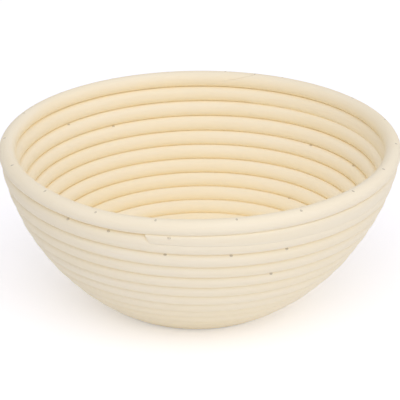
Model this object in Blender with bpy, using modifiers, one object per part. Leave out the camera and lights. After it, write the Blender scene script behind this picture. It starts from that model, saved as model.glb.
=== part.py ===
"""Round proofing basket of rattan cane, 220 mm across.

One long cane is coiled from the middle of the flat base up to the rim, a second cane lies level
round the mouth, and wire nails tack every turn to the next. Metres, +Z up, standing on Z = 0.
Bearings are degrees from the front (-Y), positive to the right (+X).
"""

import math

import bmesh
import bpy
import numpy as np
from mathutils import Matrix, Vector

# The basket
RIM_DIAMETER = 0.220      # outside, across the rim cane
RIM_LEAN = 11.0           # the wall's lean from upright at the rim
CORNER_LEAN = 54.0        # its lean where the wall passes into the corner
WALL_BEND = 0.1265        # radius of the wall's outline, rim to corner
CORNER_BEND = 0.042       # radius of the outline from the corner to the flat base

# The canes
RIM_CANE = 0.0085         # thickness of the level cane round the mouth
COIL_CANE = 0.00785       # thickness of the coiled cane
TURN_GAP = 0.00065        # between two turns, and between the rim cane and the turn under it
HEART_RADIUS = 0.0052     # of the cane's middle line where the coil starts, in the middle of the base
FLAT_SHARE = 0.1          # of the cane, taken off under the base turns so that the basket stands level
END_BEARING = -16.5       # where the coiled cane's cut end shows under the rim
END_SHARE = 0.56          # thickness left at the cut end, as a share of the full cane
TAPER_TURNS = 0.5         # length of the thinned stretch, in turns
END_SLANT = 45.0          # of the cut end, from square
SCARF_BEARING = 172.5     # middle of the rim cane's slanted joint, where a nail pins it
SCARF_SLANT = 14.0        # of the joint's faces, from the cane's own line
SCARF_GAP = 0.0005        # between the joint's two faces
LOOP_POINTS = 24          # corners in each loop of cane

# The nails
NAIL_WIRE = 0.0011
NAIL_HEAD = 0.0020
HEAD_THICKNESS = 0.0005
RIM_NAIL_LENGTH = 0.0165
COIL_NAIL_LENGTH = 0.0140
NAIL_GAP = 0.0003         # round every nail, in its hole
HEAD_SINK = 0.0004        # of a head's top, under the round of the cane
NAIL_SIDES = 6
RIM_NAIL_SEAT = 65.0      # round the section, up from the cane's outer side
SHOULDER_SEAT = 52.0      # the same, for a nail whose head peeps out of a groove
CROWN_SEAT = 90.0         # the same, for a nail that the next turn covers

# About 20 degrees apart, as a hand spaces them
RIM_NAIL_BEARINGS = [-71, -50, -30, -12, 10.5, 29.5, 49.5, 68, 88]
RIM_NAIL_BEARINGS += [107, 126.5, 154, 172.5, 190.5, 208.5, 228, 248, 268]
# Whole turns back from the cut end, and bearing, of the heads that peep out of the outer grooves
OUTER_NAILS = [(0, -40), (0, -26), (0, -8), (2, -9.5), (2, 9.5), (2, 26.5), (4, 23.5), (10, -40.5)]
# The same for the inner grooves
INNER_NAILS = [(1, 228.5), (2, 211), (3, 138), (3, 114.5), (7, 138)]
# The covered nails follow one another evenly down the coil
COVERED_NAILS = 22
FIRST_COVERED_NAIL = 1.3  # turns back from the cut end
LAST_COVERED_NAIL = 2.5   # turns out from the heart

RIM_RADIUS = (RIM_DIAMETER - RIM_CANE) / 2
PITCH = COIL_CANE + TURN_GAP
WALL_LENGTH = WALL_BEND * math.radians(CORNER_LEAN - RIM_LEAN)
CORNER_LENGTH = CORNER_BEND * math.radians(90 - CORNER_LEAN)


def outline(s):
    """Radius, drop below the rim and lean of the wall's middle line, s along it from the rim cane."""
    rim, corner = math.radians(RIM_LEAN), math.radians(CORNER_LEAN)
    wall = np.clip(rim + s / WALL_BEND, rim, corner)
    turn = np.clip(corner + (s - WALL_LENGTH) / CORNER_BEND, corner, math.pi / 2)
    flat = np.maximum(s - WALL_LENGTH - CORNER_LENGTH, 0)
    inward = WALL_BEND * (math.cos(rim) - np.cos(wall)) + CORNER_BEND * (math.cos(corner) - np.cos(turn))
    drop = WALL_BEND * (np.sin(wall) - math.sin(rim)) + CORNER_BEND * (np.sin(turn) - math.sin(corner))
    return RIM_RADIUS - inward - flat, drop, np.where(s < WALL_LENGTH, wall, turn)


BASE_RADIUS, BASE_DROP, _ = outline(WALL_LENGTH + CORNER_LENGTH)
RIM_HEIGHT = BASE_DROP + COIL_CANE * (0.5 - FLAT_SHARE)
FULL_START = (RIM_CANE + COIL_CANE) / 2 + TURN_GAP
HEART_START = WALL_LENGTH + CORNER_LENGTH + BASE_RADIUS - HEART_RADIUS
HEART_TURNS = TAPER_TURNS + (HEART_START - FULL_START) / PITCH


def cane_share(turns):
    """The coiled cane's thickness there, as a share of its full thickness."""
    return END_SHARE + (1 - END_SHARE) * np.clip(turns / TAPER_TURNS, 0, 1)


def on_wall(turns):
    """How far down the wall's outline the coiled cane's middle lies, and how far out from it, turns
    back from the cut end. The thinned stretch lies outside, in the groove between the rim cane and
    the turn below, and the gap clears both."""
    full = FULL_START + PITCH * (turns - TAPER_TURNS)
    below = full + PITCH
    half = cane_share(turns) * COIL_CANE / 2
    to_rim = RIM_CANE / 2 + TURN_GAP + half
    to_below = COIL_CANE / 2 + TURN_GAP + half
    down = (to_rim**2 - to_below**2 + below**2) / (2 * below)
    out = np.sqrt(np.maximum(to_rim**2 - down**2, 0))
    thinned = turns < TAPER_TURNS
    return np.where(thinned, down, full), np.where(thinned, out, 0)


def around(radius, bearing, height):
    """Points at these bearings, one row each."""
    a = np.radians(bearing)
    return np.stack([radius * np.sin(a), -radius * np.cos(a), height + 0 * a], axis=-1)


def coil_path():
    """Turns back from the cut end, and the points and the wall's lean there. Every loop has its
    corners at the same bearings, so that the straight runs between them lie side by side."""
    bearings = np.arange(0, END_BEARING + 360 * HEART_TURNS, 360 / LOOP_POINTS)
    bearings = np.concatenate([[END_BEARING], bearings])
    turns = (bearings - END_BEARING) / 360
    down, out = on_wall(turns)
    radius, drop, lean = outline(down)
    points = around(radius + out * np.cos(lean), bearings, RIM_HEIGHT - drop - out * np.sin(lean))
    return turns, points, lean


def rim_path():
    """Bearings and points of one level loop, the first point again at its end."""
    bearings = np.arange(LOOP_POINTS + 1) * 360 / LOOP_POINTS
    return bearings, around(RIM_RADIUS, bearings, RIM_HEIGHT)


def on_path(where, places, points):
    """The point on the straight runs between points, where it is a place among places."""
    return np.array([np.interp(where, places, points[:, i]) for i in range(3)])


def least_gap(turns, points):
    """The coil's least gap to itself: between middle lines at least three quarters of a turn
    apart, less both half thicknesses."""
    fine = np.linspace(turns[0], turns[-1], 8 * len(turns))
    middle = np.stack([on_path(t, turns, points) for t in fine])
    half = cane_share(fine) * COIL_CANE / 2
    least = math.inf
    for i, t in enumerate(fine):
        far = fine > t + 0.75
        if far.any():
            gaps = np.linalg.norm(middle[far] - middle[i], axis=1) - half[far] - half[i]
            least = min(least, gaps.min())
    return least


def new_collection(name):
    collection = bpy.data.collections.new(name)
    bpy.context.scene.collection.children.link(collection)
    return collection


def new_material(name, color, roughness, metallic):
    material = bpy.data.materials.new(name)
    material.use_nodes = True
    shader = material.node_tree.nodes["Principled BSDF"]
    shader.inputs["Base Color"].default_value = (*color, 1)
    shader.inputs["Roughness"].default_value = roughness
    shader.inputs["Metallic"].default_value = metallic
    material.diffuse_color = (*color, 1)
    return material


def tube(name, points, thickness, shares, leans, closed, collection):
    """A cane of six sides along the points, an edge of it towards the turn above and the turn
    below, made a mesh with welded caps so that it can be cut."""
    curve = bpy.data.curves.new(name, "CURVE")
    curve.dimensions = "3D"
    curve.twist_mode = "Z_UP"
    curve.bevel_depth = thickness / 2
    curve.bevel_resolution = 1
    curve.use_fill_caps = True
    spline = curve.splines.new("POLY")
    spline.points.add(len(points) - 1)
    for spot, point, share, lean in zip(spline.points, points, shares, leans):
        spot.co = (*point, 1)
        spot.radius = share
        spot.tilt = lean - math.radians(30)
    spline.use_cyclic_u = closed
    guide = bpy.data.objects.new(name + "_guide", curve)
    collection.objects.link(guide)
    bpy.context.view_layer.update()
    graph = bpy.context.evaluated_depsgraph_get()
    mesh = bpy.data.meshes.new_from_object(guide.evaluated_get(graph))
    mesh.name = name
    cane = bpy.data.objects.new(name, mesh)
    cane.matrix_world = guide.matrix_world
    collection.objects.link(cane)
    bpy.data.objects.remove(guide)
    shape = bmesh.new()
    shape.from_mesh(mesh)
    bmesh.ops.remove_doubles(shape, verts=shape.verts, dist=1e-6)
    bmesh.ops.recalc_face_normals(shape, faces=shape.faces)
    shape.to_mesh(mesh)
    shape.free()
    mesh.shade_smooth()
    mesh.set_sharp_from_angle(angle=math.radians(70))
    return cane


def slant_end(cane, tip, after, half):
    """Draws the end ring back along the cane, the more the lower, so that the end is cut on a slant."""
    along = Vector(after - tip).normalized()
    for corner in cane.data.vertices:
        if (corner.co - Vector(tip)).length < 1.01 * half:
            height = corner.co.z - tip[2]
            corner.co += along * (half - height) * math.tan(math.radians(END_SLANT))


def nail_mesh(name, wire, head, top, under_head, length):
    """A nail's profile beside the Z axis, for a Screw: the head's top, the head, wire and point."""
    profile = [
        (0, top),
        (head / 2, top),
        (head / 2, -under_head),
        (wire / 2, -under_head),
        (wire / 2, -length + wire),
        (0, -length),
    ]
    mesh = bpy.data.meshes.new(name)
    edges = [(i, i + 1) for i in range(len(profile) - 1)]
    mesh.from_pydata([(x, 0, z) for x, z in profile], edges, [])
    return mesh


def turned(name, mesh, frame, collection):
    """The profile spun round its own Z axis."""
    piece = bpy.data.objects.new(name, mesh)
    piece.matrix_world = frame
    collection.objects.link(piece)
    screw = piece.modifiers.new("Spin", "SCREW")
    screw.steps = screw.render_steps = NAIL_SIDES
    screw.use_merge_vertices = True
    screw.merge_threshold = 1e-5
    return piece


def seat_on(middle, half, bearing, lean, angle, side):
    """A point just under the cane's round, angle degrees up from its outer side (1) or inner (-1)."""
    a = math.radians(bearing)
    radial, upright = np.array([math.sin(a), -math.cos(a), 0]), np.array([0, 0, 1])
    outward = radial * math.cos(lean) - upright * math.sin(lean)
    up_wall = radial * math.sin(lean) + upright * math.cos(lean)
    a = math.radians(angle)
    return middle + (half - HEAD_SINK) * (side * outward * math.cos(a) + up_wall * math.sin(a))


def nail_frame(seat, aim):
    """Places a nail with its head's top at seat and its point towards aim."""
    up = Vector(seat - aim).normalized()
    return Matrix.Translation(Vector(seat)) @ Vector((0, 0, 1)).rotation_difference(up).to_matrix().to_4x4()


def rim_nail_frames(turns, points):
    """Each goes down through the rim cane, aimed between the two turns under it."""
    bearings, loop = rim_path()
    frames = []
    for bearing in RIM_NAIL_BEARINGS:
        middle = on_path(bearing % 360, bearings, loop)
        seat = seat_on(middle, RIM_CANE / 2, bearing, 0, RIM_NAIL_SEAT, 1)
        under = (bearing - END_BEARING) % 360 / 360
        aim = (on_path(under, turns, points) + on_path(under + 1, turns, points)) / 2
        frames.append(nail_frame(seat, aim))
    return frames


def coil_nail_frames(turns, points):
    """Each goes through one turn, aimed at the middle of the turn under it."""
    places = [(whole, bearing, SHOULDER_SEAT, 1) for whole, bearing in OUTER_NAILS]
    places += [(whole, bearing, SHOULDER_SEAT, -1) for whole, bearing in INNER_NAILS]
    for back in np.linspace(FIRST_COVERED_NAIL, HEART_TURNS - LAST_COVERED_NAIL, COVERED_NAILS):
        places.append((int(back), END_BEARING + 360 * (back % 1), CROWN_SEAT, 1))
    frames = []
    for whole, bearing, angle, side in places:
        back = whole + (bearing - END_BEARING) % 360 / 360
        lean = float(outline(on_wall(back)[0])[2])
        half = cane_share(back) * COIL_CANE / 2
        seat = seat_on(on_path(back, turns, points), half, bearing, lean, angle, side)
        frames.append(nail_frame(seat, on_path(back + 1, turns, points)))
    return frames


def add_nails(name, frames, length, steel, basket, holes):
    """The nails, and for each a like hole that is wider by the gap and open above the head."""
    nail = nail_mesh(name, NAIL_WIRE, NAIL_HEAD, 0, HEAD_THICKNESS, length)
    nail.materials.append(steel)
    hole = nail_mesh(
        name + "_hole",
        NAIL_WIRE + 2 * NAIL_GAP,
        NAIL_HEAD + 2 * NAIL_GAP,
        HEAD_SINK + NAIL_GAP,
        HEAD_THICKNESS + NAIL_GAP,
        length + NAIL_GAP,
    )
    for number, frame in enumerate(frames, 1):
        turned(f"{name}_{number:02d}", nail, frame, basket)
        turned(f"{name}_hole_{number:02d}", hole, frame, holes)


def box(name, size, frame, collection):
    """A cutter of this size, its middle at the frame's."""
    mesh = bpy.data.meshes.new(name)
    shape = bmesh.new()
    bmesh.ops.create_cube(shape, size=1)
    bmesh.ops.scale(shape, vec=size, verts=shape.verts)
    shape.to_mesh(mesh)
    shape.free()
    piece = bpy.data.objects.new(name, mesh)
    piece.matrix_world = frame
    collection.objects.link(piece)
    return piece


def cut(piece, cutter):
    boolean = piece.modifiers.new(cutter.name, "BOOLEAN")
    boolean.operation = "DIFFERENCE"
    boolean.solver = "EXACT"
    boolean.object = cutter


def drill(piece, holes):
    """Cuts every hole of a collection out of the piece."""
    boolean = piece.modifiers.new(holes.name, "BOOLEAN")
    boolean.operation = "DIFFERENCE"
    boolean.solver = "EXACT"
    boolean.operand_type = "COLLECTION"
    boolean.collection = holes


def level_base(coil, cutters):
    """Takes the round underside off the base turns, flush with Z = 0."""
    depth = COIL_CANE
    frame = Matrix.Translation((0, 0, -depth / 2))
    cut(coil, box("floor_cut", (RIM_DIAMETER, RIM_DIAMETER, depth), frame, cutters))


def scarf_rim(rim, cutters):
    """Saws the rim cane through on a long slant, so that its two ends lie over each other."""
    bearings, loop = rim_path()
    frame = (
        Matrix.Translation(Vector(on_path(SCARF_BEARING % 360, bearings, loop)))
        @ Matrix.Rotation(math.radians(SCARF_BEARING), 4, "Z")
        @ Matrix.Rotation(math.radians(SCARF_SLANT), 4, "Y")
    )
    length = 1.3 * RIM_CANE / math.sin(math.radians(SCARF_SLANT))
    cut(rim, box("scarf_cut", (length, 3 * RIM_CANE, SCARF_GAP), frame, cutters))


def main():
    for piece in list(bpy.data.objects):
        bpy.data.objects.remove(piece, do_unlink=True)
    basket = new_collection("proofing_basket")
    cutters = new_collection("cutters")
    rim_holes = new_collection("rim_nail_holes")
    coil_holes = new_collection("coil_nail_holes")
    cane_finish = new_material("rattan_cane", (0.83, 0.72, 0.55), 0.55, 0)
    steel = new_material("nail_steel", (0.30, 0.29, 0.27), 0.45, 1)

    turns, points, leans = coil_path()
    print(f"coil: {HEART_TURNS:.2f} turns, least gap to itself {1000 * least_gap(turns, points):.2f} mm")
    coil = tube("coiled_cane", points, COIL_CANE, cane_share(turns), leans, False, basket)
    coil.data.materials.append(cane_finish)
    slant_end(coil, points[0], points[1], END_SHARE * COIL_CANE / 2)
    level_base(coil, cutters)

    loop = rim_path()[1][:-1]
    even, rim_leans = np.ones(LOOP_POINTS), np.full(LOOP_POINTS, math.radians(RIM_LEAN))
    rim = tube("rim_cane", loop, RIM_CANE, even, rim_leans, True, basket)
    rim.data.materials.append(cane_finish)
    scarf_rim(rim, cutters)

    add_nails("rim_nail", rim_nail_frames(turns, points), RIM_NAIL_LENGTH, steel, basket, rim_holes)
    add_nails("coil_nail", coil_nail_frames(turns, points), COIL_NAIL_LENGTH, steel, basket, coil_holes)
    drill(rim, rim_holes)
    drill(coil, rim_holes)
    drill(coil, coil_holes)
    for cane in (coil, rim):
        cane.modifiers.new("Even shading", "WEIGHTED_NORMAL").keep_sharp = True
    for collection in (cutters, rim_holes, coil_holes):
        for cutter in collection.objects:
            cutter.hide_render = True
            cutter.display_type = "WIRE"


main()
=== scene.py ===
import math

import bpy
import numpy as np
from mathutils import Matrix, Vector
from mathutils.bvhtree import BVHTree


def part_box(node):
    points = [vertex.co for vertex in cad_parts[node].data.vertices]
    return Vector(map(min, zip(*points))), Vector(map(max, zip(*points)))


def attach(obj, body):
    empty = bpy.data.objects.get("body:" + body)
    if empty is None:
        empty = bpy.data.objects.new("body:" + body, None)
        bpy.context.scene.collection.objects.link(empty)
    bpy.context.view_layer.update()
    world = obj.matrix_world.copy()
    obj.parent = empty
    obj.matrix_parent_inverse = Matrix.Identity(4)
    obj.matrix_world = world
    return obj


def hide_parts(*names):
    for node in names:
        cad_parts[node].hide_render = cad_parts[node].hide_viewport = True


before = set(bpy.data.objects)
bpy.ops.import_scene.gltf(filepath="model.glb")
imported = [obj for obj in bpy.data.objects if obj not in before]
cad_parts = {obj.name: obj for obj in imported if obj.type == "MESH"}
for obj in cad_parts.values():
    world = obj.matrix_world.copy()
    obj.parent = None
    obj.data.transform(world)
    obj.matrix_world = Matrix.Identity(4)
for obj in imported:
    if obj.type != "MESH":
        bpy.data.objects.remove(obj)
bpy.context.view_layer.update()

print("frame loaded:", len(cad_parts), "pieces")

# The bowl's outline, which both canes follow: two arcs and a flat base
wall = {
    "across": 0.220,        # the rim, outside
    "rimLean": 9.85,        # degrees from upright, under the rim
    "cornerLean": 56.5,     # where the side passes into the corner
    "sideBend": 0.122,      # radius of the side's arc
    "cornerBend": 0.0435,   # radius of the corner's arc
}

# What a hand leaves in it: not quite round, and the base a little to the left of the rim
handWork = {
    "oval": 0.0116,         # share of the radius
    "ovalBearing": 101.0,   # degrees, from the front towards the right
    "lobes": 0.0034,        # three of them, share of the radius
    "lobeBearing": 6.0,
    "baseShift": -0.0016,   # along X, at the base
    "rimTilt": 0.00028,     # the rim rises this much towards the right
    "rimSag": 0.00125,      # and is drawn down beside the cut end
    "sagBearing": -28.0,
    "sagWidth": 24.0,
    "frontSag": 0.0006,     # and a little more, all along the front
    "frontWidth": 50.0,
}


def rimRise(bearing):
    # The rim's height over its level: tilt sin b, less two sags, each
    # sag exp(-((b - b0) / width) squared)
    off, front = ((bearing - middle + 180) % 360 - 180 for middle in (handWork["sagBearing"], 0.0))
    sag = handWork["rimSag"] * np.exp(-(off / handWork["sagWidth"]) ** 2)
    sag = sag + handWork["frontSag"] * np.exp(-(front / handWork["frontWidth"]) ** 2)
    return handWork["rimTilt"] * np.sin(np.radians(bearing)) - sag


def wallLine(down, bowl=wall):
    # Radius, height and lean of the wall's middle line, for a distance down it from the rim cane:
    # an arc of the side's bend, then one of the corner's bend until it lies flat, then straight in
    rim, corner = math.radians(bowl["rimLean"]), math.radians(bowl["cornerLean"])
    side, turn = bowl["sideBend"], bowl["cornerBend"]
    sideLength = side * (corner - rim)
    onSide = np.clip(rim + down / side, rim, corner)
    onTurn = np.clip(corner + (down - sideLength) / turn, corner, math.pi / 2)
    flat = np.maximum(down - sideLength - turn * (math.pi / 2 - corner), 0)
    inward = side * (math.cos(rim) - np.cos(onSide)) + turn * (math.cos(corner) - np.cos(onTurn))
    drop = side * (np.sin(onSide) - math.sin(rim)) + turn * (np.sin(onTurn) - math.sin(corner))
    lean = np.where(down < sideLength, onSide, onTurn)
    return bowl["rimRadius"] - inward - flat, bowl["rimHeight"] - drop, lean


def handBent(points):
    # The round bowl's points as the hand left them: radius times 1 + oval cos 2(b - b0) + lobes
    # cos 3(b - b1), bearing less oval sin 2(b - b0), and X moved in step with the depth below the
    # rim
    bearing = np.arctan2(points[..., 0], -points[..., 1])
    twice = 2 * (bearing - math.radians(handWork["ovalBearing"]))
    lobes = handWork["lobes"] * np.cos(3 * (bearing - math.radians(handWork["lobeBearing"])))
    stretch = 1 + handWork["oval"] * np.cos(twice) + lobes
    radius = np.hypot(points[..., 0], points[..., 1]) * stretch
    bearing = bearing - handWork["oval"] * np.sin(twice)
    bent = np.stack([radius * np.sin(bearing), -radius * np.cos(bearing), points[..., 2]], axis=-1)
    bent[..., 0] += handWork["baseShift"] * (1 - points[..., 2] / wall["rimHeight"])
    return bent


def waver(along, size, seed):
    # A slow wander of about this size: five sines of unlike lengths, each weaker than the one
    # before, their phases set by the seed
    total = 0 * along
    for k, cycles in enumerate((0.37, 0.83, 1.71, 3.13, 5.9)):
        phase = seed * (1.7 + 0.9 * k)
        total = total + np.sin(2 * math.pi * cycles * along + phase) / (1 + 0.6 * k)
    return size * total / 2.4


def putSurface(name, points, along):
    # A tube's skin from rings of points, one row each: quads from ring to ring, closed round the
    # ring, a fan on each end with the second material. The UV map holds metres along the cane, and
    # turns round it.
    rings, sides = points.shape[:2]
    corner = np.arange(rings * sides).reshape(rings, sides)
    nextSide = np.roll(corner, -1, axis=1)
    quads = np.stack([corner[:-1], nextSide[:-1], nextSide[1:], corner[1:]], axis=-1).reshape(-1, 4)
    u = np.repeat(along[:, None], sides, axis=1)
    v = np.repeat(np.arange(sides)[None, :] / sides, rings, axis=0)
    quadU = np.stack([u[:-1], u[:-1], u[1:], u[1:]], axis=-1)
    quadV = np.stack([v[:-1], v[:-1] + 1 / sides, v[1:] + 1 / sides, v[1:]], axis=-1)
    verts = points.reshape(-1, 3)
    middles = np.stack([points[0].mean(axis=0), points[-1].mean(axis=0)])
    first, last = corner[0], corner[-1]
    startFan = np.stack([np.roll(first, -1), first, np.full(sides, len(verts))], axis=-1)
    endFan = np.stack([last, np.roll(last, -1), np.full(sides, len(verts) + 1)], axis=-1)
    verts = np.concatenate([verts, middles])
    fans = np.concatenate([startFan, endFan])
    mesh = bpy.data.meshes.new(name)
    mesh.vertices.add(len(verts))
    mesh.vertices.foreach_set("co", verts.astype(np.float32).ravel())
    loops = np.concatenate([quads.ravel(), fans.ravel()])
    mesh.loops.add(len(loops))
    mesh.loops.foreach_set("vertex_index", loops)
    totals = np.concatenate([np.full(len(quads), 4), np.full(len(fans), 3)])
    starts = np.concatenate([[0], np.cumsum(totals)[:-1]])
    mesh.polygons.add(len(totals))
    mesh.polygons.foreach_set("loop_start", starts)
    mesh.polygons.foreach_set("loop_total", totals)
    mesh.polygons.foreach_set("use_smooth", totals == 4)
    mesh.polygons.foreach_set("material_index", (totals == 3).astype(int))
    uvMap = mesh.uv_layers.new(name="alongCane")
    quadUv = np.stack([quadU.ravel(), quadV.ravel()], axis=-1)
    uvs = np.concatenate([quadUv, np.zeros((fans.size, 2))])
    uvMap.data.foreach_set("uv", uvs.astype(np.float32).ravel())
    mesh.update(calc_edges=True)
    mesh.validate()
    piece = bpy.data.objects.new(name, mesh)
    bpy.context.scene.collection.objects.link(piece)
    return piece


def spun(radius, height, bearing):
    # Points from radius and height at bearings in degrees, from the front towards the right
    turned = np.radians(bearing)
    return np.stack([radius * np.sin(turned), -radius * np.cos(turned), height], axis=-1)


def ringAngles(sides):
    return np.arange(sides) * 2 * math.pi / sides


rimLow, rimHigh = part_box("rim_cane")
rimCane = {
    "thick": 0.0090,
    "scarfBearing": 172.5,  # the slanted joint at the back, pinned by a nail
    "scarfSlant": 14.0,     # degrees from the cane's own line
    "scarfGap": 0.000004,
    "uneven": 0.006,        # share of its thickness
    "rings": 420,
    "sides": 32,
}
wall["rimRadius"] = (wall["across"] - rimCane["thick"]) / 2
wall["rimHeight"] = (rimLow.z + rimHigh.z) / 2  # as packed

coilCane = {
    "thick": 0.00841,       # the turns touch
    "thicker": 0.0004,      # by this much for the first turns
    "thickerTurns": 1.5,    # and then back to its own thickness within a turn
    "raised": 0.00022,      # the whole winding, towards the rim
    "endRaised": 0.00033,   # and the turn that runs under the cut end
    "endRaisedOver": 0.6,   # turns either way, over which that fades
    "hairline": 0.00001,    # left between two turns
    "wander": 0.00022,      # in and out of the wall
    "uneven": 0.008,        # share of its thickness through the wall
    "tucked": 0.0019,       # how far the thinned stretch is drawn up round the rim's underside
    "endBearing": -15.0,
    "thinnedTurns": 0.5,
    "endEdge": 0.0105,      # down the wall to the thinned cane's lower edge, at its cut end
    "fullEdge": 0.0131,     # and where it has its full height
    "fullHeightAt": 0.16,   # turns from the end
    "endThick": 0.0050,     # through the wall
    "endProud": 0.0003,     # of the full cane's outer side
    "endSlant": 25.0,       # of the cut, degrees from square
    "slantOver": 0.025,     # turns from the cut, over which the rings get square again
    "endRound": 0.0008,     # radius sanded on the cut end's edge
    "roundRings": 7,
    "stepStart": -0.0015,   # turns past the cut end where the turn below it starts to drop
    "stepLength": 0.0066,   # turns over which it drops
    "stepRings": 5,
    "heartRadius": 0.0012,  # where the cane's middle line would stop
    "heartHole": 0.00035,   # radius left open in the middle, for which the last turn gets narrower
    "square": 2.1,          # 2 is a round cane, more has fuller shoulders
    "outerSquare": 2.5,     # the same on the outside
    "endSquare": 3.3,       # and at the thinned end, growing round from there
    "pressed": 0.02,        # share of its height, pressed flat where the turns touch
    "pressedOut": 1.5,      # times as much again on the outside
    "mostTurns": 30,        # more than the wall has room for
    "ringStep": 2.5,        # degrees
    "sides": 32,
}


def smooth(share):
    share = np.clip(share, 0, 1)
    return share * share * (3 - 2 * share)


def lowerEdge(turns):
    # How far down the wall a turn's lower edge lies, for turns counted back from the cut end: half
    # the rim, half a cane, and a cane's thickness for each turn, thicker at first, with one turn
    # drawn up towards the rim
    size = coilCane
    fading = np.clip(turns - size["thickerTurns"], 0, 1)
    thicker = np.minimum(turns, size["thickerTurns"]) + fading - fading ** 2 / 2
    drawnUp = size["endRaised"] * np.exp(-((turns - 1) / size["endRaisedOver"]) ** 2)
    return (rimCane["thick"] / 2 + size["thick"] * (turns + 0.5) - size["raised"]
            + size["thicker"] * thicker - drawnUp)


def turnThick(turns):
    # From the lower edge of the turn above to this turn's own
    full = np.maximum(turns, coilCane["thickerTurns"])
    return lowerEdge(full) - lowerEdge(full - 1)


def fullDown(turns):
    return lowerEdge(turns) - turnThick(turns) / 2


def upperEdge(turns, bearing, edge):
    # A turn's upper edge, from its lower one: a cane's thickness above, but under the rim it is
    # pressed up to the rim's own edge, and steps down to let the thinned stretch in
    thinned = np.clip(1 - turns / coilCane["thinnedTurns"], 0, 1)
    rimEdge = rimCane["thick"] / 2 - rimRise(bearing) - coilCane["tucked"] * thinned
    step = np.clip((turns - 1 - coilCane["stepStart"]) / coilCane["stepLength"], 0, 1)
    return rimEdge + (edge - turnThick(turns) - rimEdge) * step


def caneSection(angle, halfOut, halfUp, square, outerSquare, pressed=0.0):
    # A rounded square: cos and sin raised to 2 / square, each with its sign, squarer on the outer
    # side, its top and bottom cut flat by the pressed share
    outer = np.clip(0.5 + 4 * np.cos(angle), 0, 1)[None, :]
    square, outerSquare = (np.broadcast_to(s, halfUp.shape)[:, None] for s in (square, outerSquare))
    power = 2 / (square * (1 - outer) + outerSquare * outer)
    out = np.sign(np.cos(angle)) * np.abs(np.cos(angle)) ** power
    up = np.sign(np.sin(angle)) * np.abs(np.sin(angle)) ** power
    up = np.clip(up * (1 + pressed * (1 + coilCane["pressedOut"] * outer)), -1, 1)
    return halfOut[:, None] * out, halfUp[:, None] * up


def pushedOff(radius, height, middleRadius, middleHeight, clear):
    # Points that lie nearer than clear to a round neighbour's middle, moved out to its skin
    dr, dz = radius - middleRadius[:, None], height - middleHeight[:, None]
    away = np.maximum(1, clear / np.maximum(np.hypot(dr, dz), 1e-9))
    return middleRadius[:, None] + dr * away, middleHeight[:, None] + dz * away


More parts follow.
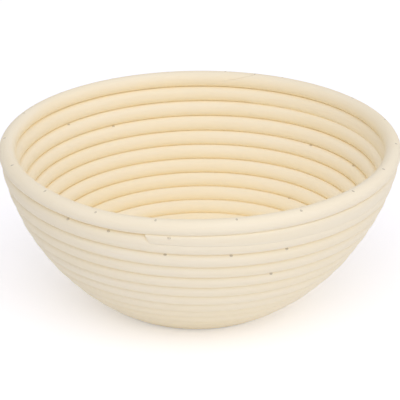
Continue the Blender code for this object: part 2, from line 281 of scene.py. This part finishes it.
def makeCoil():
    # Rings round the cane's middle line, every few degrees of bearing from the cut end down to the
    # heart. The thinned stretch fills what the rim cane and the turn below leave it, and is pushed
    # off both.
    size = coilCane
    base = wall["sideBend"] * math.radians(wall["cornerLean"] - wall["rimLean"])
    base += wall["cornerBend"] * math.radians(90 - wall["cornerLean"])
    heart = base + float(wallLine(np.array(base))[0]) - size["heartRadius"]
    aroundRim = 2 * math.pi * wall["rimRadius"]
    endRound, hairline = size["endRound"], size["hairline"]
    sanded = endRound * (1 - np.cos(np.linspace(0, math.pi / 2, size["roundRings"])))
    step = 1 + size["stepStart"] + size["stepLength"] * np.linspace(0, 1, size["stepRings"])
    turns = np.union1d(np.arange(0, size["mostTurns"], size["ringStep"] / 360)[1:], step)
    turns = np.concatenate([sanded / aroundRim, turns[fullDown(turns) < heart]])
    bearing = size["endBearing"] + 360 * turns

    thinned = np.clip(1 - turns / size["thinnedTurns"], 0, 1)
    beside = turns < 1
    grown = smooth(turns / size["fullHeightAt"])
    endEdge = size["endEdge"] + (size["fullEdge"] - size["endEdge"]) * grown
    edge = np.where(thinned > 0, endEdge, lowerEdge(turns))
    top = upperEdge(turns, bearing, edge)
    down = (edge + top) / 2
    halfUp = (edge - top) / 2 - hairline
    fromRound = np.clip(endRound - turns * aroundRim, 0, endRound)
    taken = endRound - np.sqrt(endRound ** 2 - fromRound ** 2)
    fullHalf = turnThick(turns) / 2 - hairline
    halfUp = halfUp - taken
    halfOut = fullHalf - thinned * (size["thick"] - size["endThick"]) / 2
    outward = fullHalf - halfOut + thinned * size["endProud"]
    wander = waver(turns, size["wander"], 3.1) * np.clip(turns[-1] - turns, 0, 1)
    outward = outward + (1 - thinned) * wander
    halfOut = halfOut * (1 + waver(turns * 2.3, size["uneven"], 5.3)) - taken

    radius, height, lean = wallLine(down)
    square, outerSquare = (size[s] + (size["endSquare"] - size[s]) * thinned
                           for s in ("square", "outerSquare"))
    out, up = caneSection(ringAngles(size["sides"]), halfOut, halfUp, square, outerSquare,
                          size["pressed"])
    out = out + outward[:, None]
    ringRadius = radius[:, None] + out * np.cos(lean)[:, None] + up * np.sin(lean)[:, None]
    ringHeight = height[:, None] - out * np.sin(lean)[:, None] + up * np.cos(lean)[:, None]

    # Round the heart, what would pass the middle is squeezed outwards
    inner, outer = ringRadius.min(axis=1)[:, None], ringRadius.max(axis=1)[:, None]
    hole = size["heartHole"]
    squeezed = hole + (ringRadius - inner) * (outer - hole) / (outer - inner)
    ringRadius = np.where(inner < hole, squeezed, ringRadius)

    belowRadius, belowHeight, _ = wallLine(fullDown(turns[beside] + 1))
    belowClear = turnThick(turns[beside] + 1) / 2 + hairline
    rimRadius = np.full(beside.sum(), wall["rimRadius"])
    rimHeight = wall["rimHeight"] + rimRise(bearing[beside])
    rimClear = np.full(beside.sum(), rimCane["thick"] / 2 + hairline)
    for middleRadius, middleHeight, clear in (
        (belowRadius, belowHeight, belowClear), (rimRadius, rimHeight, rimClear),
    ):
        ringRadius[beside], ringHeight[beside] = pushedOff(
            ringRadius[beside], ringHeight[beside], middleRadius, middleHeight, clear[:, None])

    # The cut end is slanted: its lower edge lies back along the cane
    slanted = np.clip(1 - turns / size["slantOver"], 0, 1)[:, None]
    slant = math.tan(math.radians(size["endSlant"])) * slanted
    lag = np.degrees((halfUp[:, None] - up) * slant / wall["rimRadius"])
    points = handBent(spun(ringRadius, ringHeight, bearing[:, None] + lag))
    points[..., 2] = np.maximum(points[..., 2], 0)  # sanded flat underneath
    middle = points.mean(axis=1)
    along = np.concatenate([[0], np.cumsum(np.linalg.norm(np.diff(middle, axis=0), axis=1))])
    return putSurface("coiledCane", points[:, ::-1], along)


def makeRim():
    # One loop, each ring sheared along the cane by its own height, so that the two ends lie over
    # each other on a slant
    size = rimCane
    share = np.linspace(0, 1, size["rings"])
    angle = ringAngles(size["sides"])
    uneven = waver(share * 3, size["uneven"], 1.9) * np.sin(math.pi * share)  # none at the joint
    half = size["thick"] / 2 * (1 + uneven)
    out, up = caneSection(angle, half, half, 2.0, 2.0)
    lean = math.radians(wall["rimLean"])
    slantGap = size["scarfGap"] / math.sin(math.radians(size["scarfSlant"]))
    gap = math.degrees(slantGap / wall["rimRadius"])
    shear = np.degrees(up / math.tan(math.radians(size["scarfSlant"])) / wall["rimRadius"])
    bearing = size["scarfBearing"] + gap / 2 + share[:, None] * (360 - gap) - shear
    radius = wall["rimRadius"] + out
    height = wall["rimHeight"] + up + rimRise(bearing)
    points = handBent(spun(radius, height, bearing))
    # Metres both ways from the joint, so that the skin's tone runs on over it
    along = wall["rimRadius"] * math.pi * (1 - np.abs(2 * share - 1))
    return putSurface("rimCane", points[:, ::-1], along)


nail = {
    "wire": 0.0011,
    "head": 0.0020,
    "headThick": 0.0004,
    "dome": 0.00014,
    "sides": 18,
    "proud": -0.0001,       # of the cane's skin, for the heads that show
    "sunk": 0.0003,         # under it, for those that the next turn covers
    "inGroove": 0.0004,     # under the seam, for the heads in the outer and inner grooves
    "onThinned": 0.0008,    # the same in the thinned stretch, under the rim
    "shoulder": 0.0008,     # a head farther out of the wall's middle than this lies in a groove
    "reach": 0.0079,        # from the head to the middle of the seam that the wire goes through
    "before": 0.005,        # outside the place where a head is sought
    "search": 0.012,        # from there inwards
}

# The plain model's own bowl, which its nails are set by: even turns that stand a little apart
plain = {
    "rimLean": 11.0,
    "cornerLean": 54.0,
    "sideBend": 0.1265,
    "cornerBend": 0.042,
    "rimRadius": 0.10575,
    "rimHeight": 0.08936,
    "rimCane": 0.0085,
    "rimHold": 0.00476,     # a head nearer than this to the rim cane's middle is on that cane
    "pitch": 0.0085,
    "wallLength": 0.17,     # more than the wall has
    "wallSteps": 17001,
}


def turnsBack(bearing):
    # Counted from the cut end, where the cane first passes this bearing
    return (bearing - coilCane["endBearing"]) % 360 / 360


def carriedOver(point):
    # A point beside a cane of the plain model, set beside the same cane here: its distance down the
    # wall and out of it are found, and taken to the same turn of this winding. With it goes the way
    # out of the cane there, or nothing where the next turn covers the place.
    bearing = math.degrees(math.atan2(point[0], -point[1]))
    radius, height = math.hypot(point[0], point[1]), point[2]
    offRim = radius - plain["rimRadius"], height - plain["rimHeight"]
    if math.hypot(*offRim) < plain["rimHold"]:
        share = rimCane["thick"] / plain["rimCane"]
        point = spun(wall["rimRadius"] + offRim[0] * share,
                     wall["rimHeight"] + float(rimRise(bearing)) + offRim[1] * share, bearing)
        return point, spun(*(np.array(offRim) / math.hypot(*offRim)), bearing)
    down = np.linspace(0, plain["wallLength"], plain["wallSteps"])
    lineRadius, lineHeight, lean = wallLine(down, plain)
    nearest = np.argmin((lineRadius - radius) ** 2 + (lineHeight - height) ** 2)
    down, lean = down[nearest], lean[nearest]
    out = ((radius - lineRadius[nearest]) * math.cos(lean)
           - (height - lineHeight[nearest]) * math.sin(lean))
    newDown = float(fullDown(np.array(down / plain["pitch"] - 0.5)))
    back = turnsBack(bearing)
    turn = back + round(down / plain["pitch"] - 0.25 - back)
    if abs(out) > nail["shoulder"]:
        seam = float(upperEdge(np.array(turn), bearing, lowerEdge(np.array(turn))))
        newDown = seam + nail["inGroove" if turn > coilCane["thinnedTurns"] else "onThinned"]
    newRadius, newHeight, newLean = wallLine(np.array(newDown))
    point = spun(newRadius + out * np.cos(newLean), newHeight - out * np.sin(newLean), bearing)
    if abs(out) < nail["shoulder"]:
        return point, None
    return point, math.copysign(1, out) * spun(np.cos(newLean), -np.sin(newLean), bearing)


def nailPlace(node):
    # The head's top, the way out of the cane there, the point that the wire goes through and the
    # nail's length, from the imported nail's own points
    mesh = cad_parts[node].data
    points = np.zeros(len(mesh.vertices) * 3)
    mesh.vertices.foreach_get("co", points)
    points = points.reshape(-1, 3)
    middle = points.mean(axis=0)
    way = np.linalg.svd(points - middle, full_matrices=False)[2][0]
    depth = (points - middle) @ way
    width = np.linalg.norm(points - middle - depth[:, None] * way, axis=1)
    if depth[np.argmax(width)] > (depth.min() + depth.max()) / 2:
        way, depth = -way, -depth
    length = depth.max() - depth.min()
    top = middle + way * depth.min()
    newTop, outward = carriedOver(top)
    bearing = math.degrees(math.atan2(newTop[0], -newTop[1]))
    back = turnsBack(bearing)
    first = 1 if back < coilCane["thinnedTurns"] else 0  # that stretch has no seam of its own
    below = lowerEdge(np.arange(back + first, coilCane["mostTurns"]))
    seams = np.concatenate([[rimCane["thick"] / 2 - float(rimRise(bearing))], below])
    radius, height, _ = wallLine(seams)
    aims = spun(radius, height, np.full(len(seams), bearing))
    offReach = np.abs(np.linalg.norm(aims - newTop, axis=1) - nail["reach"])
    aim = aims[np.argmin(np.where(aims[:, 2] > newTop[2], math.inf, offReach))]
    return handBent(newTop), outward, handBent(aim), length


def seatedOn(skins, top, outward):
    # The head's place: where a line from outside first meets a cane's skin, or a little under the
    # turn that covers it
    if outward is None:
        return top - np.array([0, 0, nail["sunk"]])
    start, inward = Vector(top + outward * nail["before"]), Vector(-outward)
    hits = [skin.ray_cast(start, inward, nail["search"])[0] for skin in skins]
    seats = [np.array(hit) for hit in hits if hit is not None]
    return max(seats, key=lambda seat: seat @ outward) + outward * nail["proud"]


def makeNail(name, node, skins):
    # A profile turned about the nail's own line: domed head, wire, point
    top, outward, aim, length = nailPlace(node)
    seat = seatedOn(skins, top, outward)
    way = (aim - seat) / np.linalg.norm(aim - seat)
    size = nail
    head, wire = size["head"] / 2, size["wire"] / 2
    profile = np.array([
        (0.35 * head, -size["dome"]),
        (0.75 * head, -0.6 * size["dome"]),
        (head, 0.1 * size["headThick"]),
        (head, 0.7 * size["headThick"]),
        (1.1 * wire, size["headThick"]),
        (wire, 1.6 * size["headThick"]),
        (wire, length - 2.2 * size["wire"]),
        (0.1 * wire, length),
    ])
    side = np.cross(way, [0.0, 0.0, 1.0])
    side = side / np.linalg.norm(side) if np.linalg.norm(side) > 1e-6 else np.array([1.0, 0.0, 0.0])
    other = np.cross(way, side)
    angle = ringAngles(size["sides"])
    turnedRound = np.cos(angle)[:, None] * side + np.sin(angle)[:, None] * other
    points = seat + profile[:, 1, None, None] * way + profile[:, 0, None, None] * turnedRound
    piece = putSurface(name, points[:, ::-1], profile[:, 1])
    piece.data.polygons.foreach_set("use_smooth", np.ones(len(piece.data.polygons), bool))
    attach(piece, "root")
    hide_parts(node)
    piece.data.materials.append(steel)
    piece.data.materials.append(steel)
    return piece


def newMaterial(name):
    material = bpy.data.materials.new(name)
    material.use_nodes = True
    return material, material.node_tree, material.node_tree.nodes["Principled BSDF"]


def addNode(tree, kind, settings=None, **inputs):
    # A node with its settings, and its inputs set or linked by name
    made = tree.nodes.new(kind)
    for key, value in (settings or {}).items():
        setattr(made, key, value)
    for key, value in inputs.items():
        socket = made.inputs[int(key[1:])] if key[0] == "_" else made.inputs[key.replace("_", " ")]
        if isinstance(value, bpy.types.NodeSocket):
            tree.links.new(value, socket)
        else:
            socket.default_value = value
    return made


def mixedColour(tree, share, first, second):
    # Two colours mixed by a share, each given as a colour or as a socket
    mix = addNode(tree, "ShaderNodeMix", {"data_type": "RGBA"}, Factor=share)
    for socket, colour in ((mix.inputs[6], first), (mix.inputs[7], second)):
        if isinstance(colour, bpy.types.NodeSocket):
            tree.links.new(colour, socket)
        else:
            socket.default_value = (*colour, 1)
    return mix.outputs[2]


def maths(tree, operation, *values):
    # One step of arithmetic with numbers or sockets
    inputs = {"_" + str(k): value for k, value in enumerate(values)}
    return addNode(tree, "ShaderNodeMath", {"operation": operation}, **inputs).outputs[0]


rattan = {
    "pale": (0.975, 0.905, 0.728),
    "warm": (0.97, 0.88, 0.658),
    "fibre": (0.94, 0.79, 0.56),
    "patches": (9, 1.2, 1),  # per metre along the cane, and per turn round it
    "patchRange": (0.3, 0.7),
    "patchDetail": 0.62,
    "fibres": (60, 46, 1),  # the same
    "fibreRange": (0.58, 0.75),
    "fibreShare": 0.35,
    "relief": 0.0002,
    "reliefShare": 0.4,
    "rough": 0.55,
    "shine": 0.15,
    "endDots": 2200.0,      # per metre, on the cut end
    "endDotRange": (0.15, 0.4),
    "endRough": 0.7,
}


def makeRattan():
    # Peeled rattan: long pale and warm patches, fine fibres along the cane, a few darker ones
    material, tree, shader = newMaterial("rattanCane")
    where = addNode(tree, "ShaderNodeUVMap", {"uv_map": "alongCane"})
    patches = addNode(tree, "ShaderNodeMapping", Vector=where.outputs["UV"],
                      Scale=rattan["patches"])
    patch = addNode(tree, "ShaderNodeTexNoise", Vector=patches.outputs["Vector"], Scale=1.0,
                    Detail=4.0, Roughness=rattan["patchDetail"])
    fibres = addNode(tree, "ShaderNodeMapping", Vector=where.outputs["UV"], Scale=rattan["fibres"])
    fibre = addNode(tree, "ShaderNodeTexNoise", Vector=fibres.outputs["Vector"], Scale=1.0,
                    Detail=4.0)
    low, high = rattan["patchRange"]
    warmth = addNode(tree, "ShaderNodeMapRange", Value=patch.outputs["Fac"], From_Min=low,
                     From_Max=high)
    tone = mixedColour(tree, warmth.outputs["Result"], rattan["pale"], rattan["warm"])
    low, high = rattan["fibreRange"]
    darkness = addNode(tree, "ShaderNodeMapRange", Value=fibre.outputs["Fac"], From_Min=low,
                       From_Max=high, To_Max=rattan["fibreShare"])
    streaked = mixedColour(tree, darkness.outputs["Result"], tone, rattan["fibre"])
    tree.links.new(streaked, shader.inputs["Base Color"])
    bump = addNode(tree, "ShaderNodeBump", Height=fibre.outputs["Fac"],
                   Strength=rattan["reliefShare"], Distance=rattan["relief"])
    tree.links.new(bump.outputs["Normal"], shader.inputs["Normal"])
    shader.inputs["Roughness"].default_value = rattan["rough"]
    shader.inputs["Specular IOR Level"].default_value = rattan["shine"]
    return material


def makeEndGrain():
    # The cut end: pale pith with the dark dots of the cut fibres
    material, tree, shader = newMaterial("rattanEnd")
    where = addNode(tree, "ShaderNodeTexCoord")
    dots = addNode(tree, "ShaderNodeTexVoronoi", Vector=where.outputs["Object"],
                   Scale=rattan["endDots"])
    low, high = rattan["endDotRange"]
    ramp = addNode(tree, "ShaderNodeMapRange", Value=dots.outputs["Distance"], From_Min=low,
                   From_Max=high)
    tone = mixedColour(tree, ramp.outputs["Result"], rattan["fibre"], rattan["warm"])
    tree.links.new(tone, shader.inputs["Base Color"])
    shader.inputs["Roughness"].default_value = rattan["endRough"]
    return material


nailSteel = {
    "dark": (0.57, 0.51, 0.395),
    "light": (0.745, 0.68, 0.555),
    "spots": 1500.0,        # per metre
    "rough": (0.35, 0.6),
    "metallic": 0.7,
}


def makeSteel():
    # Dull wire nails, a little uneven
    material, tree, shader = newMaterial("nailSteel")
    where = addNode(tree, "ShaderNodeTexCoord")
    spots = addNode(tree, "ShaderNodeTexNoise", Vector=where.outputs["Object"],
                    Scale=nailSteel["spots"], Detail=3.0)
    tone = mixedColour(tree, spots.outputs["Fac"], nailSteel["dark"], nailSteel["light"])
    tree.links.new(tone, shader.inputs["Base Color"])
    low, high = nailSteel["rough"]
    rough = addNode(tree, "ShaderNodeMapRange", Value=spots.outputs["Fac"], To_Min=low, To_Max=high)
    tree.links.new(rough.outputs["Result"], shader.inputs["Roughness"])
    shader.inputs["Metallic"].default_value = nailSteel["metallic"]
    return material


caneSkin, caneEnd, steel = makeRattan(), makeEndGrain(), makeSteel()
for piece, node in ((makeCoil(), "coiled_cane"), (makeRim(), "rim_cane")):
    piece.data.materials.append(caneSkin)
    piece.data.materials.append(caneEnd)
    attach(piece, "root")
    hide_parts(node)
    print(piece.name, len(piece.data.polygons), "faces")

skins = [BVHTree.FromPolygons([v.co for v in mesh.vertices], [p.vertices for p in mesh.polygons])
         for mesh in (bpy.data.meshes["coiledCane"], bpy.data.meshes["rimCane"])]
for node in sorted(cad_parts):
    if node.startswith("rim_nail"):
        makeNail("rimNail" + node[-2:], node, skins)
    elif node.startswith("coil_nail"):
        makeNail("coilNail" + node[-2:], node, skins)
print("nails driven")

studio = {
    "tint": (1.02, 0.99, 1.02),
    "sky": 0.562,
    "slope": (0.85, -0.45, 0.35),
    "slant": -1.3,
    "key": 6.2,             # W
    "keyPlace": (0.05, -1.1, 1.5),
    "keyAim": (0, 0, 0.04),
    "keySize": 1.4,
    "floorReach": 4.0,
    "floorGap": 0.0003,     # under the basket
    "floorTone": (0.91, 0.92, 0.96),
    "floorGlow": 0.32,
}


def cameraOrMirror(tree):
    # 1 for the rays by which the background is seen: the camera's own, and those that a gloss or
    # glass sends on
    rays = addNode(tree, "ShaderNodeLightPath")
    seen = maths(tree, "MAXIMUM", rays.outputs["Is Camera Ray"], rays.outputs["Is Glossy Ray"])
    return maths(tree, "MAXIMUM", seen, rays.outputs["Is Transmission Ray"])


def makeFloor():
    mesh = bpy.data.meshes.new("floor")
    corners = [(x * studio["floorReach"], y * studio["floorReach"], -studio["floorGap"])
               for x, y in ((-1, -1), (1, -1), (1, 1), (-1, 1))]
    mesh.from_pydata(corners, [], [(0, 1, 2, 3)])
    floor = bpy.data.objects.new("floor", mesh)
    bpy.context.scene.collection.objects.link(floor)
    material, tree, shader = newMaterial("paleFloor")
    shader.inputs["Base Color"].default_value = (*studio["floorTone"], 1)
    shader.inputs["Roughness"].default_value = 0.9
    shader.inputs["Specular IOR Level"].default_value = 0.0
    shader.inputs["Emission Color"].default_value = (1, 1, 1, 1)
    glow = maths(tree, "MULTIPLY", cameraOrMirror(tree), studio["floorGlow"])
    tree.links.new(glow, shader.inputs["Emission Strength"])
    mesh.materials.append(material)


def makeLight():
    # A tent of light, brighter in front, to the right and at the upper left. In a direction
    # (x, y, z) it is sky * (1 + (x, y, z) . slope + slant * x * z). What is seen of it is plain
    # white.
    world = bpy.data.worlds.new("studio")
    bpy.context.scene.world = world
    world.use_nodes = True
    tree = world.node_tree
    background = tree.nodes["Background"]
    seen = cameraOrMirror(tree)
    tree.links.new(mixedColour(tree, seen, studio["tint"], (1, 1, 1)), background.inputs["Color"])
    where = addNode(tree, "ShaderNodeTexCoord").outputs["Generated"]
    facing = addNode(tree, "ShaderNodeVectorMath", {"operation": "DOT_PRODUCT"}, _0=where,
                     _1=studio["slope"]).outputs["Value"]
    axes = addNode(tree, "ShaderNodeSeparateXYZ", Vector=where)
    slant = maths(tree, "MULTIPLY", axes.outputs["X"], axes.outputs["Z"])
    both = maths(tree, "MULTIPLY_ADD", slant, studio["slant"], facing)
    level = addNode(tree, "ShaderNodeMix", Factor=seen)
    tree.links.new(maths(tree, "MULTIPLY_ADD", both, studio["sky"], studio["sky"]), level.inputs[2])
    level.inputs[3].default_value = 1.0
    tree.links.new(level.outputs[0], background.inputs["Strength"])
    lamp = bpy.data.lights.new("keyLight", "AREA")
    lamp.energy = studio["key"]
    lamp.color = studio["tint"]
    lamp.size = studio["keySize"]
    light = bpy.data.objects.new("keyLight", lamp)
    light.location = studio["keyPlace"]
    aim = Vector(studio["keyAim"]) - light.location
    light.rotation_euler = aim.to_track_quat("-Z", "Y").to_euler()
    bpy.context.scene.collection.objects.link(light)


photo = {
    "size": 400,
    "distance": 1.6587,
    "elevation": 24.05,     # degrees
    "roll": 0.31,           # the same
    "focal": 2972.9,        # in the photograph's pixels
    "middle": (199.87, 202.19),
    "under": 0.033,         # the point looked at, below the middle of the rim
    "sensor": 36.0,         # mm
}


def makeCamera():
    lens = bpy.data.cameras.new("camera")
    lens.sensor_width = photo["sensor"]
    lens.lens = photo["focal"] / photo["size"] * lens.sensor_width
    lens.shift_x = 0.5 - photo["middle"][0] / photo["size"]
    lens.shift_y = photo["middle"][1] / photo["size"] - 0.5
    lens.clip_start = 0.05
    camera = bpy.data.objects.new("camera", lens)
    tilt = math.radians(photo["elevation"])
    target = Vector((0, 0, wall["rimHeight"] - photo["under"]))
    camera.location = target + photo["distance"] * Vector((0, -math.cos(tilt), math.sin(tilt)))
    rolled = Matrix.Rotation(math.radians(photo["roll"]), 3, "Z")
    camera.rotation_euler = (Matrix.Rotation(math.pi / 2 - tilt, 3, "X") @ rolled).to_euler()
    bpy.context.scene.collection.objects.link(camera)
    bpy.context.scene.camera = camera


makeFloor()
makeLight()
makeCamera()
bpy.context.scene.view_settings.view_transform = "Standard"
bpy.context.scene.cycles.diffuse_bounces = 10  # light goes from pale cane to pale cane many times
print("studio set")
